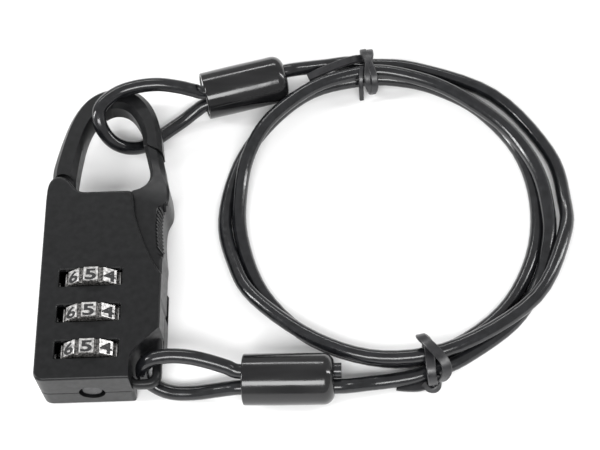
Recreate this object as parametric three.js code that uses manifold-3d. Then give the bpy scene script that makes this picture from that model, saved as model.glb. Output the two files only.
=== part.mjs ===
// A combination cable lock: a carabiner-shaped lock body with three number wheels,
// and a coated steel cable with an eye at each end, wound into a coil.
// Millimetres. X runs across the lock towards the gate, Y along it towards the hook,
// Z out of its front. Inside this file y is measured from the bottom end face, and the
// whole group is then moved down by half the length.

import * as THREE from 'three';
import { mergeVertices } from 'three/addons/utils/BufferGeometryUtils.js';
import Module from 'manifold-3d';

const wasm = await Module();
wasm.setup();

// ---------------------------------------------------------------- driving dimensions

const LENGTH = 79;            // bottom end face to the top of the hook
const LEFT = -14.4;           // left side of the case
const RIGHT = 13.6;           // right side of the case
const BUMP = 14.4;            // the gate's thumb bump, the widest point
const THICKNESS = 14;         // back face to front face
const SEAM = 6;               // height where the cover meets the back body
const GAP = 0.3;              // clearance between neighbouring pieces
const WALL = 1.3;             // case wall

const HOOK_BACK = 3.9;        // the hook and gate arm are thinner than the case
const HOOK_FRONT = 10.6;
const GATE_FRONT = 12.4;      // front of the gate's wing, under the cover's front wall
const GATE_BACK = 1.8;

const RING_BACK = SEAM + GAP / 2;   // the cable ring is the corner of the cover
const RING_FRONT = 8.8;
const RING_CORNER = 3.6;

const WHEEL_X = -2.3;         // axis of the three number wheels
const WHEEL_Z = 8.5;
const WHEEL_RADIUS = 7.5;
const WHEEL_WIDTH = 3.7;
const WHEEL_Y = [7.35, 16.3, 25.25];
const WHEEL_BORE = 3.5;
const FACETS = 10;
const WINDOW = { left: -10, right: 4.7, height: 4.3 };

const HUB_RADIUS = 3.2;       // cam sleeve inside the wheel's bore
const LUG = { width: 0.7, reach: 3.9, length: 1.3 };
const SLOT = { width: 1.4, reach: 4.3 };
const FLANGE = { radius: 3.9, start: 0.35, thick: 1.4 };
const NOTCH = { width: 3.0, floor: 2.4, below: 1.45 };
const SPINDLE_RADIUS = 1.6;
const SPINDLE_FOOT = 1.8;
const SPINDLE_TOP = 34.7;
const LOWER_POST = [3.8, 4.9];
const UPPER_POST = [33.3, 34.4];
const BUTTON = { z: SEAM, radius: 2.5, thick: 1.0, inset: 0.5 };

const PIVOT = { x: 9.9, y: 21.5, pin: 1.2, boss: 2.9 };
const SPRING_SEAT = 10.2;     // floor of the seat for the gate's spring
const PLATE = { left: 5.3, right: 6.5, low: 1.8, tip: 2.0, fingerLow: 7.4, fingerHigh: 9.6 };
const SCREWS = [[-10.9, 41.6], [9.9, 12.4], [-10.9, 3.0], [4.0, 3.0]];
const SCREW = { shank: 0.95, head: 1.8, headDepth: 1.3, tip: 10.4 };

const CABLE_RADIUS = 1.7;
const CAP_RADIUS = 5.8;
const CAP_LENGTH = 20.6;
const COIL = { x: 68.2, y: 45.9, inner: 32.5, outer: 41.1, bottom: 1.1, top: 6.9 };

const CAP_UPPER = { x: 21.6, y: 77.5, z: 6, angle: 0.262, tilt: 1.32 };
const CAP_LOWER = { x: 31.8, y: 2.0, z: 6, angle: -0.024, tilt: 0.65 };

// The cable's route where it isn't coiled: dead end, ferrule, eye, ferrule, lead to coil.
const UPPER_END = [
  [40.2, 82.4, 4.3], [31.0, 79.8, 4.3], [22.4, 77.3, 4.2], [19.1, 75.9, 3.1],
  [16.3, 74.1, 2.2], [13.6, 72.2, 1.9], [10.8, 70.1, 1.8], [8.4, 68.3, 1.8],
  [6.2, 66.9, 2.1], [4.0, 65.8, 3.2], [1.6, 65.3, 4.8], [-0.7, 65.8, 6.6],
  [-2.4, 67.1, 8.7], [-3.3, 68.8, 11.0], [-3.3, 71.2, 12.4], [-1.6, 73.8, 12.7],
  [1.8, 76.2, 12.8], [6.4, 77.6, 12.7], [11.2, 78.2, 12.1], [16.0, 78.3, 10.4],
  [19.0, 78.2, 9.0], [22.2, 78.3, 7.8], [31.0, 80.7, 7.7], [39.6, 83.0, 7.7],
  [43.2, 84.0, 7.4], [47.6, 85.7, 5.6], [52.2, 87.3, 3.8], [57.2, 88.4, 2.9],
];
const LOWER_END = [
  [54.0, 3.0, 7.1], [43.0, 3.3, 7.1], [31.6, 3.5, 7.1], [28.2, 4.3, 8.2],
  [24.6, 5.1, 9.5], [20.6, 5.8, 10.6], [16.9, 6.1, 11.1], [13.8, 5.9, 11.3],
  [11.3, 5.5, 10.8], [9.6, 4.9, 8.9], [9.1, 4.3, 6.4], [9.6, 3.7, 4.0],
  [11.2, 2.8, 2.5], [13.6, 1.7, 1.9], [16.6, 1.0, 1.8], [20.8, 0.8, 2.2],
  [25.0, 0.8, 3.2], [28.4, 0.7, 4.3], [31.6, 0.6, 4.9], [43.0, 0.4, 4.9],
  [52.6, 0.2, 4.7], [55.9, 0.7, 3.7], [60.0, 1.6, 2.5], [64.4, 2.2, 2.0],
];

// ---------------------------------------------------------------- solids and booleans

function solidOf(geometry) {
  const bare = geometry.clone();
  bare.deleteAttribute('normal');
  bare.deleteAttribute('uv');
  const merged = mergeVertices(bare, 1e-4);
  return new wasm.Manifold(new wasm.Mesh({
    numProp: 3,
    vertProperties: new Float32Array(merged.attributes.position.array),
    triVerts: new Uint32Array(merged.index.array),
  }));
}

function geometryOf(solid) {
  const mesh = solid.getMesh();
  const geometry = new THREE.BufferGeometry();
  geometry.setAttribute('position', new THREE.BufferAttribute(mesh.vertProperties, 3));
  geometry.setIndex(new THREE.BufferAttribute(mesh.triVerts, 1));
  geometry.computeVertexNormals();
  return geometry;
}

function join(...geometries) {
  const solids = geometries.map(solidOf);
  return geometryOf(solids.reduce((whole, next) => whole.add(next)));
}

function cut(base, ...tools) {
  return geometryOf(tools.reduce((whole, tool) => whole.subtract(solidOf(tool)), solidOf(base)));
}

// ---------------------------------------------------------------- simple shapes

function outline(points) {
  return new THREE.Shape(points.map(([x, y]) => new THREE.Vector2(x, y)));
}

// The points of a path, without the ones that repeat where two stretches meet.
function distinctPoints(path) {
  const points = path.getPoints(3);
  return points.filter((point, i) => point.distanceTo(points[(i + 1) % points.length]) > 0.01);
}

function polygonOf(shape) {
  const polygon = new THREE.Shape(distinctPoints(shape));
  polygon.holes = shape.holes.map((hole) => new THREE.Path(distinctPoints(hole)));
  return polygon;
}

function plate(shape, low, high) {
  const options = { depth: high - low, bevelEnabled: false };
  const geometry = new THREE.ExtrudeGeometry(polygonOf(shape), options);
  geometry.translate(0, 0, low);
  return geometry;
}

function box(x0, x1, y0, y1, z0, z1) {
  const geometry = new THREE.BoxGeometry(x1 - x0, y1 - y0, z1 - z0);
  geometry.translate((x0 + x1) / 2, (y0 + y1) / 2, (z0 + z1) / 2);
  return geometry;
}

function rodAlongZ(x, y, z0, z1, radius, topRadius = radius, sides = 20) {
  const geometry = new THREE.CylinderGeometry(topRadius, radius, z1 - z0, sides);
  geometry.rotateX(Math.PI / 2);
  geometry.translate(x, y, (z0 + z1) / 2);
  return geometry;
}

function rodAlongY(x, z, y0, y1, radius, sides = 24) {
  const geometry = new THREE.CylinderGeometry(radius, radius, y1 - y0, sides);
  geometry.translate(x, (y0 + y1) / 2, z);
  return geometry;
}

function circle(radius, sides, phase = 0) {
  const points = [];
  for (let i = 0; i < sides; i += 1) {
    const angle = phase + (2 * Math.PI * i) / sides;
    points.push([radius * Math.cos(angle), radius * Math.sin(angle)]);
  }
  return points;
}

// A section drawn in the X-Z plane and extruded along Y.
function sectionAlongY(shape, y0, y1) {
  const geometry = plate(shape, y0, y1);
  const turn = new THREE.Matrix4().set(
    1, 0, 0, 0,
    0, 0, 1, 0,
    0, -1, 0, 0,
    0, 0, 0, 1,
  );
  geometry.applyMatrix4(turn);
  return geometry;
}

// A round bar that follows a smooth curve through the points.
function barAlong(points, radius, sides, steps) {
  const path = new THREE.CatmullRomCurve3(points.map((p) => new THREE.Vector3(...p)), false);
  const section = outline(circle(radius, sides));
  return new THREE.ExtrudeGeometry(section, { steps, extrudePath: path, bevelEnabled: false });
}

// ---------------------------------------------------------------- the case's outlines

// The curved seam where the cover overlaps the gate's wing, from the top edge down.
const WING_SEAM = [[5.7, 47.8], [6.5, 45.6], [6.9, 41.5], [8.6, 36], [11.4, 29.2], [RIGHT, 25.6]];

function addSeamAndTop(shape) {
  const seam = WING_SEAM.map(([x, y]) => new THREE.Vector2(x, y)).reverse();
  shape.splineThru(seam.slice(1));
  shape.lineTo(-5.7, 47.9);
  shape.quadraticCurveTo(-7.6, 48.4, -8.9, 50.6);
  shape.quadraticCurveTo(-9.8, 52.2, -11.4, 52.3);
  shape.lineTo(-13.2, 52.2);
  shape.quadraticCurveTo(-14.2, 51.8, LEFT, 48);
  shape.lineTo(LEFT, 2.4);
  shape.absarc(LEFT + 2.4, 2.4, 2.4, Math.PI, 1.5 * Math.PI);
}

function coverOutline() {
  const shape = new THREE.Shape();
  shape.moveTo(LEFT + 2.4, 0);
  shape.lineTo(RIGHT - RING_CORNER, 0);
  shape.absarc(RIGHT - RING_CORNER, RING_CORNER, RING_CORNER, -0.5 * Math.PI, 0);
  shape.lineTo(RIGHT, 25.6);
  addSeamAndTop(shape);
  return shape;
}

// The back body leaves the corner under the cable ring free for the cable.
function bodyOutline() {
  const shape = new THREE.Shape();
  shape.moveTo(LEFT + 2.4, 0);
  shape.lineTo(7.0, 0);
  shape.lineTo(7.0, 8.4);
  shape.quadraticCurveTo(7.2, 9.7, 8.6, 9.8);
  shape.lineTo(RIGHT, 9.8);
  shape.lineTo(RIGHT, 25.6);
  addSeamAndTop(shape);
  return shape;
}

// The space that the gate turns in. It opens through the right side and the top.
function gateBay(low, high) {
  return plate(outline([
    [5, 16.2], [15, 16.2], [15, 60], [-4.6, 60], [-4.6, 43.5], [-0.9, 38], [2, 33.5],
    [4.4, 29.5], [5, 28],
  ]), low, high);
}

// The space for the wheels, the spindle and the detent spring.
function wheelBay(low, high) {
  return plate(outline([
    [-12.9, 5.2], [-8.4, 5.2], [-8.4, 1.4], [1.6, 1.4], [1.6, 5.2], [5.6, 5.2], [5.6, 9.4],
    [7.9, 9.9], [7.9, 31], [1, 36.8], [-5.6, 36.8], [-12.9, 30],
  ]), low, high);
}

// ---------------------------------------------------------------- case

function cableHole(low, high) {
  const hole = new THREE.Shape();
  hole.moveTo(8.2, 1.9);
  hole.lineTo(9.9, 1.9);
  hole.absarc(9.9, 3.5, 1.6, -0.5 * Math.PI, 0);
  hole.lineTo(11.5, 7.2);
  hole.lineTo(7.0, 7.2);
  hole.lineTo(7.0, 3.1);
  hole.quadraticCurveTo(7.0, 1.9, 8.2, 1.9);
  return plate(hole, low, high);
}

function cableRecess() {
  const recess = new THREE.Shape();
  recess.moveTo(15, 12.6);
  recess.lineTo(RIGHT, 11.6);
  recess.quadraticCurveTo(11.6, 8.6, 9.2, 7.9);
  recess.quadraticCurveTo(6.9, 6.6, 6.9, 3.6);
  recess.lineTo(7.1, -1);
  recess.lineTo(15, -1);
  return plate(recess, RING_FRONT, THICKNESS + 1);
}

function frontCover() {
  const blank = plate(coverOutline(), 2, THICKNESS);
  const tools = [
    box(LEFT - 1, BUMP + 1, -1, LENGTH, 0, SEAM + GAP / 2),
    gateBay(0, THICKNESS - WALL),
    wheelBay(0, THICKNESS - WALL),
    cableRecess(),
    cableHole(RING_BACK - 1, RING_FRONT + 1),
    plate(outline([[-13.3, 43.9], [-7.8, 43.9], [-7.8, 60], [-13.3, 60]]), 0, HOOK_FRONT + GAP),
    rodAlongY(WHEEL_X, BUTTON.z, -1, 2, BUTTON.radius + 0.5),
  ];
  for (const y of WHEEL_Y) {
    const half = WINDOW.height / 2;
    tools.push(box(WINDOW.left, WINDOW.right, y - half, y + half, SEAM, THICKNESS + 1));
  }
  for (const [x, y] of SCREWS) {
    tools.push(rodAlongZ(x, y, 0, SCREW.tip + GAP, SCREW.shank + GAP));
  }
  tools.push(rodAlongZ(PIVOT.x, PIVOT.y, SEAM, THICKNESS - 0.6, PIVOT.pin + GAP));
  return cut(blank, ...tools);
}

// The hook is one casting with the back body: a bar bent over the top, ending in a nose
// that laps the outside of the gate's tip.
function hookOutline() {
  const shape = new THREE.Shape();
  const outer = [
    [-14.1, 56.4], [-12.2, 65], [-10.1, 71.3], [-7.2, 75.9], [-3.6, 78.4], [0.6, LENGTH],
    [4.9, 78], [8.2, 74.9], [10.3, 70.8], [11.4, 66.6], [12.2, 60.2],
  ];
  const inner = [
    [7.4, 62.8], [6.9, 66], [5.5, 69.6], [3.2, 72.6], [0.3, 73.7], [-2.7, 72.9], [-5.2, 69.9],
    [-6.9, 65.4], [-7.9, 59.6], [-8.5, 53.8],
  ];
  shape.moveTo(-13, 44.2);
  shape.lineTo(-13, 52.9);
  shape.lineTo(-14.2, 53.6);
  shape.splineThru(outer.map(([x, y]) => new THREE.Vector2(x, y)));
  shape.lineTo(8.6, 62.9);
  shape.lineTo(7.4, 62.8);
  shape.splineThru(inner.slice(1).map(([x, y]) => new THREE.Vector2(x, y)));
  shape.lineTo(-8.1, 44.2);
  return shape;
}

function backBody() {
  const shell = plate(bodyOutline(), 0, SEAM + 4);
  const tray = cut(
    shell,
    box(LEFT - 1, BUMP + 1, -1, LENGTH, SEAM - GAP / 2, SEAM + 5),
    gateBay(WALL, SEAM + 1),
    wheelBay(WALL, SEAM + 1),
    plate(outline([[-10.2, 4.9], [5.5, 4.9], [5.5, 27.7], [-10.2, 27.7]]), 0.7, SEAM + 1),
    rodAlongY(WHEEL_X, BUTTON.z, -1, 2, BUTTON.radius + 0.5),
  );
  const whole = join(
    tray,
    plate(hookOutline(), HOOK_BACK, HOOK_FRONT),
    box(-4.4, -0.2, ...LOWER_POST, 0.6, 10.9),
    box(-4.4, -0.2, ...UPPER_POST, 0.6, 10.9),
    rodAlongZ(PIVOT.x, PIVOT.y, WALL / 2, GATE_BACK - GAP, 2.4),
  );
  const tools = [
    rodAlongY(WHEEL_X, WHEEL_Z, 2.5, 36, SPINDLE_RADIUS + 0.2),
    rodAlongZ(PIVOT.x, PIVOT.y, 0.6, 6, PIVOT.pin + GAP),
  ];
  for (const [x, y] of SCREWS) {
    tools.push(rodAlongZ(x, y, -1, SEAM + 1, SCREW.shank + GAP));
    tools.push(rodAlongZ(x, y, -1, SCREW.headDepth + GAP, SCREW.head + GAP));
  }
  return cut(whole, ...tools);
}

// A countersunk screw, its head towards the back face.
function caseScrew(x, y) {
  const head = rodAlongZ(x, y, 0.1, SCREW.headDepth, SCREW.head, SCREW.shank);
  const shank = rodAlongZ(x, y, SCREW.headDepth - 0.4, SCREW.tip, SCREW.shank, SCREW.shank, 12);
  const drive = rodAlongZ(x, y, -1, 0.7, 0.6, 0.6, 6);
  return cut(join(head, shank), drive);
}

// ---------------------------------------------------------------- gate

// The gate arm carries the opening's right side; its wing runs under the cover.
function gateArmOutline() {
  const shape = new THREE.Shape();
  shape.moveTo(11.9, 59.8);
  shape.lineTo(8.5, 62.5);
  shape.lineTo(7.5, 62.3);
  shape.splineThru([[8.6, 58], [9.6, 53.6], [9.3, 51.4], [7.8, 50.1], [5.3, 49.1]]
    .map(([x, y]) => new THREE.Vector2(x, y)));
  shape.lineTo(5.3, 46);
  shape.lineTo(8, 30);
  shape.lineTo(12.6, 30);
  shape.lineTo(13.6, 44);
  shape.splineThru([[BUMP, 45.6], [14.3, 49.4], [13.3, 53.2]].map(([x, y]) => new THREE.Vector2(x, y)));
  return shape;
}

function gateWingOutline() {
  const shape = new THREE.Shape();
  shape.moveTo(9.2, 51.2);
  shape.splineThru([[7.8, 50.1], [5.3, 49.1]].map(([x, y]) => new THREE.Vector2(x, y)));
  shape.lineTo(5.3, 46);
  shape.splineThru([[6.3, 41.5], [7.7, 36.2], [8, 30], [7.4, 25.4]]
    .map(([x, y]) => new THREE.Vector2(x, y)));
  const { x, y, boss } = PIVOT;
  shape.absarc(x, y, boss, Math.PI - 0.3, 2 * Math.PI + 0.5);
  shape.lineTo(13.2, 30);
  shape.splineThru([[13.9, 32.6], [13.1, 35.4], [13, 39], [13.4, 42.6], [BUMP, 45.4]]
    .map(([px, py]) => new THREE.Vector2(px, py)));
  shape.lineTo(14.3, 49.2);
  shape.lineTo(13.6, 51.2);
  return shape;
}

function gate() {
  const arm = plate(gateArmOutline(), HOOK_BACK, HOOK_FRONT);
  const wing = plate(gateWingOutline(), GATE_BACK, GATE_FRONT);
  const pinHole = rodAlongZ(PIVOT.x, PIVOT.y, -1, THICKNESS, PIVOT.pin + GAP);
  const springSeat = rodAlongZ(PIVOT.x, PIVOT.y, SPRING_SEAT, THICKNESS, 2.45);
  return cut(join(arm, wing), pinHole, springSeat);
}

function gatePin() {
  return rodAlongZ(PIVOT.x, PIVOT.y, 0.9, THICKNESS - 0.9, PIVOT.pin);
}

// A torsion spring of two turns round the pin, sunk into the gate's boss.
function gateSpring() {
  const radius = 1.9;
  const wire = 0.25;
  const turns = 2;
  const perTurn = 12;
  const low = SPRING_SEAT + wire + 0.1;
  const rise = 1.4;
  const points = [];
  for (let i = 0; i <= turns * perTurn; i += 1) {
    const angle = (2 * Math.PI * i) / perTurn;
    const z = low + (rise * i) / (turns * perTurn);
    points.push([PIVOT.x + radius * Math.cos(angle), PIVOT.y + radius * Math.sin(angle), z]);
  }
  return barAlong(points, wire, 6, 40);
}

// The plate that blocks the gate: a bar behind the wheels, with a finger between each
// pair of wheels that reaches for the notch in a cam.
function lockingPlate() {
  const { left, right, low, tip, fingerLow, fingerHigh } = PLATE;
  const bar = box(left, right, 10.2, 29.2, low, low + 1.4);
  const fingers = WHEEL_Y.flatMap((y) => {
    const start = y + WHEEL_WIDTH / 2 + FLANGE.start + 0.3;
    const end = start + 0.95;
    return [
      box(left, right, start, end, low, fingerHigh),
      box(tip, right, start, end, fingerLow, fingerHigh),
    ];
  });
  return join(bar, ...fingers);
}

// ---------------------------------------------------------------- wheels and cams

// Ten flat facets with a narrow groove at each corner, and ten slots in the bore.
function numberWheel(y) {
  const points = [];
  const step = (2 * Math.PI) / FACETS;
  for (let i = 0; i < FACETS; i += 1) {
    const corner = Math.PI / 2 + step * (i + 0.5);
    for (const [turn, radius] of [[-0.055, WHEEL_RADIUS], [0, WHEEL_RADIUS - 0.45], [0.055, WHEEL_RADIUS]]) {
      points.push([radius * Math.cos(corner + turn), radius * Math.sin(corner + turn)]);
    }
  }
  const shape = outline(points);
  const bore = [];
  for (let i = 0; i < FACETS; i += 1) {
    const middle = -step * i;
    const halfSlot = SLOT.width / 2;
    const corners = [
      [SLOT.reach, halfSlot], [SLOT.reach, -halfSlot],
      [Math.sqrt(WHEEL_BORE ** 2 - halfSlot ** 2), -halfSlot],
    ];
    corners.unshift([corners[2][0], halfSlot]);
    for (const [along, across] of corners) {
      bore.push([
        along * Math.cos(middle) - across * Math.sin(middle),
        along * Math.sin(middle) + across * Math.cos(middle),
      ]);
    }
  }
  shape.holes.push(new THREE.Path(bore.map(([a, b]) => new THREE.Vector2(a, b))));
  const wheel = sectionAlongY(shape, -WHEEL_WIDTH / 2, WHEEL_WIDTH / 2);
  wheel.translate(WHEEL_X, y, WHEEL_Z);
  return wheel;
}

// A sleeve on the spindle: its lugs sit in two of the wheel's slots, and its flange has
// notches that let a finger of the locking plate in. The notches run down the hub, so that
// the sleeve can still slide out of the wheel while the gate is open.
function camSleeve(y) {
  const top = y + WHEEL_WIDTH / 2;
  const flangeLow = top + FLANGE.start;
  const flangeHigh = flangeLow + FLANGE.thick;
  const half = LUG.width / 2;
  const lugs = box(-LUG.reach, LUG.reach, top - LUG.length, flangeLow + 0.2, -half, half);
  lugs.rotateY((2 * 2 * Math.PI) / FACETS);
  lugs.translate(WHEEL_X, 0, WHEEL_Z);
  const body = join(
    rodAlongY(WHEEL_X, WHEEL_Z, y - WHEEL_WIDTH / 2 + 0.4, flangeLow + 0.2, HUB_RADIUS),
    rodAlongY(WHEEL_X, WHEEL_Z, flangeLow, flangeHigh, FLANGE.radius),
    lugs,
  );
  const notches = [-1, 1].map((side) => {
    const notch = box(
      NOTCH.floor, NOTCH.floor + 3, flangeLow - NOTCH.below, flangeHigh + 1,
      -NOTCH.width / 2, NOTCH.width / 2,
    );
    if (side < 0) notch.rotateY(Math.PI);
    notch.translate(WHEEL_X, 0, WHEEL_Z);
    return notch;
  });
  const bore = rodAlongY(WHEEL_X, WHEEL_Z, y - 4, y + 5, SPINDLE_RADIUS + 0.3);
  return cut(body, bore, ...notches);
}

function spindle() {
  const collarLow = WHEEL_Y[2] + WHEEL_WIDTH / 2 + FLANGE.start + FLANGE.thick + GAP;
  return join(
    rodAlongY(WHEEL_X, WHEEL_Z, SPINDLE_FOOT, SPINDLE_TOP, SPINDLE_RADIUS),
    rodAlongY(WHEEL_X, WHEEL_Z, collarLow, collarLow + 0.7, 2.8),
  );
}

// The button sits on the case's seam, below the wheels' axis, and pushes the spindle's foot.
function resetButton() {
  const { z, inset, thick, radius } = BUTTON;
  return rodAlongY(WHEEL_X, z, inset, inset + thick, radius);
}

function spindleSpring() {
  const low = 30.7;
  const high = 32.7;
  const turns = 3;
  const perTurn = 12;
  const points = [];
  for (let i = 0; i <= turns * perTurn; i += 1) {
    const angle = (2 * Math.PI * i) / perTurn;
    const y = low + ((high - low) * i) / (turns * perTurn);
    points.push([WHEEL_X + 2.3 * Math.cos(angle), y, WHEEL_Z + 2.3 * Math.sin(angle)]);
  }
  return barAlong(points, 0.25, 6, 54);
}

// A strip of spring steel with one curved finger for each wheel.
function detentSpring() {
  const strip = box(-12.6, -12.2, 5.6, 27.4, 5.0, 12.2);
  const fingers = WHEEL_Y.map((y) => {
    const nose = plate(outline([[-12.4, 7.6], [-12.4, 9.4], [-10.5, 9.0], [-10, 8.5], [-10.5, 8.0]]), -1.2, 1.2);
    nose.applyMatrix4(new THREE.Matrix4().set(
      1, 0, 0, 0,
      0, 0, 1, y,
      0, -1, 0, 2 * WHEEL_Z,
      0, 0, 0, 1,
    ));
    return nose;
  });
  return join(strip, ...fingers);
}

// ---------------------------------------------------------------- cable

// Ferrule and cap lie along their own X axis, from the open end at the eye.
function place(geometry, { x, y, z, angle }) {
  geometry.rotateZ(angle);
  geometry.translate(x, y, z);
  return geometry;
}

// An aluminium plug with one oblong hole for the two strands that lie side by side.
function ferrule(where) {
  const half = 1.85;
  const bore = CABLE_RADIUS + 0.35;
  const shape = new THREE.Shape();
  shape.absarc(0, 0, CAP_RADIUS - 1.1, 0, 2 * Math.PI);
  const hole = new THREE.Path();
  hole.absarc(half, 0, bore, -Math.PI / 2, Math.PI / 2);
  hole.absarc(-half, 0, bore, Math.PI / 2, 1.5 * Math.PI);
  shape.holes.push(hole);
  const geometry = plate(shape, 0.5, CAP_LENGTH - 2.2);
  geometry.rotateZ(where.tilt);
  geometry.applyMatrix4(new THREE.Matrix4().set(
    0, 0, 1, 0,
    1, 0, 0, 0,
    0, 1, 0, 0,
    0, 0, 0, 1,
  ));
  return place(geometry, where);
}

// A vinyl cap over the ferrule, open towards the eye, closed and rounded at the other end.
function ferruleCap(where) {
  const inside = CAP_RADIUS - 0.8;
  const profile = [
    [inside, 0], [CAP_RADIUS, 0], [CAP_RADIUS, CAP_LENGTH - 2.4], [CAP_RADIUS - 0.8, CAP_LENGTH - 0.7],
    [CAP_RADIUS - 2.4, CAP_LENGTH], [0, CAP_LENGTH], [0, CAP_LENGTH - 1.9], [inside, CAP_LENGTH - 1.9],
    [inside, 0],
  ].map(([r, along]) => new THREE.Vector2(r, along));
  const shell = new THREE.LatheGeometry(profile, 24);
  shell.rotateZ(-Math.PI / 2);
  const half = 1.85;
  const holes = [-half, half].map((across) => {
    const hole = new THREE.CylinderGeometry(CABLE_RADIUS + 0.35, CABLE_RADIUS + 0.35, 6, 16);
    hole.rotateZ(-Math.PI / 2);
    hole.translate(CAP_LENGTH - 1, across * Math.cos(where.tilt), across * Math.sin(where.tilt));
    return hole;
  });
  return place(cut(shell, ...holes), where);
}

function coil() {
  const { inner, outer, bottom, top } = COIL;
  const chamfer = 1.5;
  const profile = [
    [inner + chamfer, bottom], [outer - chamfer, bottom], [outer, bottom + chamfer],
    [outer, top - chamfer], [outer - chamfer, top], [inner + chamfer, top],
    [inner, top - chamfer], [inner, bottom + chamfer], [inner + chamfer, bottom],
  ].map(([r, z]) => new THREE.Vector2(r, z));
  const ring = new THREE.LatheGeometry(profile, 48);
  ring.rotateX(Math.PI / 2);
  ring.translate(COIL.x, COIL.y, 0);
  return ring;
}

// A flat band round the coil's section, at the given angle about the coil's centre.
function coilTie(angle, width) {
  const band = 0.7;
  const low = COIL.inner - GAP;
  const high = COIL.outer + GAP;
  const frame = cut(
    box(low - band, high + band, -width / 2, width / 2, 0.05, COIL.top + GAP + band),
    box(low, high, -width, width, 0.05 + band, COIL.top + GAP),
  );
  frame.rotateZ(angle);
  frame.translate(COIL.x, COIL.y, 0);
  return frame;
}

// ---------------------------------------------------------------- assembly

function material(color, roughness, metalness) {
  return new THREE.MeshStandardMaterial({ color, roughness, metalness });
}

const blackPaint = () => material(0x2b2c2e, 0.45, 0.2);
const steel = () => material(0x9a9a98, 0.35, 0.9);
const silver = () => material(0xd0d0cc, 0.3, 0.9);
const brass = () => material(0xb8973f, 0.35, 0.9);
const blackVinyl = () => material(0x26272a, 0.25, 0);

const lock = new THREE.Group();
lock.position.y = -LENGTH / 2;

function add(name, geometry, finish) {
  const mesh = new THREE.Mesh(geometry, finish);
  mesh.name = name;
  lock.add(mesh);
}

add('front_cover', frontCover(), blackPaint());
add('back_body', backBody(), blackPaint());
SCREWS.forEach(([x, y], i) => add(`case_screw_${i + 1}`, caseScrew(x, y), steel()));
add('gate', gate(), blackPaint());
add('gate_pin', gatePin(), steel());
add('gate_spring', gateSpring(), steel());
add('locking_plate', lockingPlate(), steel());
WHEEL_Y.forEach((y, i) => {
  add(`number_wheel_${i + 1}`, numberWheel(y), silver());
  add(`cam_sleeve_${i + 1}`, camSleeve(y), brass());
});
add('spindle', spindle(), steel());
add('reset_button', resetButton(), blackVinyl());
add('spindle_spring', spindleSpring(), steel());
add('detent_spring', detentSpring(), steel());
add('ferrule_upper', ferrule(CAP_UPPER), silver());
add('ferrule_lower', ferrule(CAP_LOWER), silver());
add('ferrule_cap_upper', ferruleCap(CAP_UPPER), blackVinyl());
add('ferrule_cap_lower', ferruleCap(CAP_LOWER), blackVinyl());
add('cable_upper_end', barAlong(UPPER_END, CABLE_RADIUS, 8, 40), blackVinyl());
add('cable_lower_end', barAlong(LOWER_END, CABLE_RADIUS, 8, 40), blackVinyl());
add('cable_coil', coil(), blackVinyl());
add('coil_tie_upper', coilTie(1.66, 4), blackVinyl());
add('coil_tie_lower', coilTie(-1.4, 4.5), blackVinyl());

export default lock;
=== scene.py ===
"""A carabiner-shaped combination lock and its coiled, coated steel cable.

The lock lies on its back on a pale floor. Shapes are written in millimetres in the lock's
own plan: x runs across it towards the gate, y along it from the bottom end face, z up.
"""

import math

import bmesh
import bpy
from mathutils import Matrix, Vector


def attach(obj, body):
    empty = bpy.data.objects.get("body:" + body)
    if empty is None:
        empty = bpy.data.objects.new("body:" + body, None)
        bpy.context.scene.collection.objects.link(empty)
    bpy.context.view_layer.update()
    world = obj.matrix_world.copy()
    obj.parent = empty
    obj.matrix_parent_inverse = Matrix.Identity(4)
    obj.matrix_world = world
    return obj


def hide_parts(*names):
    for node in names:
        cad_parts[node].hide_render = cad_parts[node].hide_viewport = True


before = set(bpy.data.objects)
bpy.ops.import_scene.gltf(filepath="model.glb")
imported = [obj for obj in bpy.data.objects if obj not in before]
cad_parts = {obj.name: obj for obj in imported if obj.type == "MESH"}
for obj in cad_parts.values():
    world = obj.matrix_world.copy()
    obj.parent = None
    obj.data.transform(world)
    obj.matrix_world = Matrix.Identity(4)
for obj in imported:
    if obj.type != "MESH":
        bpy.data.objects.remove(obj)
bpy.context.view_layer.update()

# ---------------------------------------------------------------- dimensions, millimetres

LENGTH = 79.0                 # from the bottom end face to the top of the hook
LEFT = -14.4                  # the case's left and right sides
RIGHT = 13.6
BUMP = 14.4                   # as far to the right as the gate reaches
THICKNESS = 14.0
SEAM = 6.0                    # height of the joint between the cover and the back
GAP = 0.3                     # clearance round the hook's root
WALL = 1.3
RIM = 0.65                    # rounding of the case's front and back rims

HOOK_BACK = 3.9               # the hook's and gate's lowest and highest z
HOOK_FRONT = 10.6
GATE_BACK = 1.8
GATE_FRONT = 12.4
PIVOT = (9.9, 21.5)           # the gate's pin, in the plan
GATE_THINS = (45.0, 58.0)     # stretch over which the gate's arm gets thinner
GRIP = (31.2, 46.0)           # stretch of the thumb hollow along the gate
GRIP_CHAMFER = 1.6
RIBS = 14
RIB_PITCH = 0.94
RIB_START = 1.4               # from the start of the hollow to the first rib
RIB_LEAN = (-0.6, 0.5)        # along the gate, from a rib's middle to its bottom and top
RIB_REACH = 0.8               # share of the chamfer's slope that a rib covers
RIB_RADIUS = 0.32
RIB_PROUD = 0.12

RING_BACK = 6.15              # lowest and highest z of the ring for the cable's eye
RING_FRONT = 8.8

WHEEL_X = -2.3
WHEEL_Y = (7.35, 16.3, 25.25)
WHEEL_Z = 8.5
WHEEL_WIDTH = 3.7
WHEEL_BORE = 3.6
WINDOW = {"left": -10.0, "right": 4.6, "height": 4.3}
FACETS = 10
TOP_DIGIT = 5                 # the digit that faces straight up
DIGIT_SIZE = 3.7
DIGIT_STRETCH = 1.6           # how much wider than its typeface a digit is
BUTTON_RADIUS = 2.3
BUTTON_HOLE = 3.0

SCREWS = ((-10.9, 41.6), (9.9, 12.4), (-10.9, 3.0), (4.0, 3.0))

SMOOTH_BELOW = 32             # degrees between faces that are shaded as one surface

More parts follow.
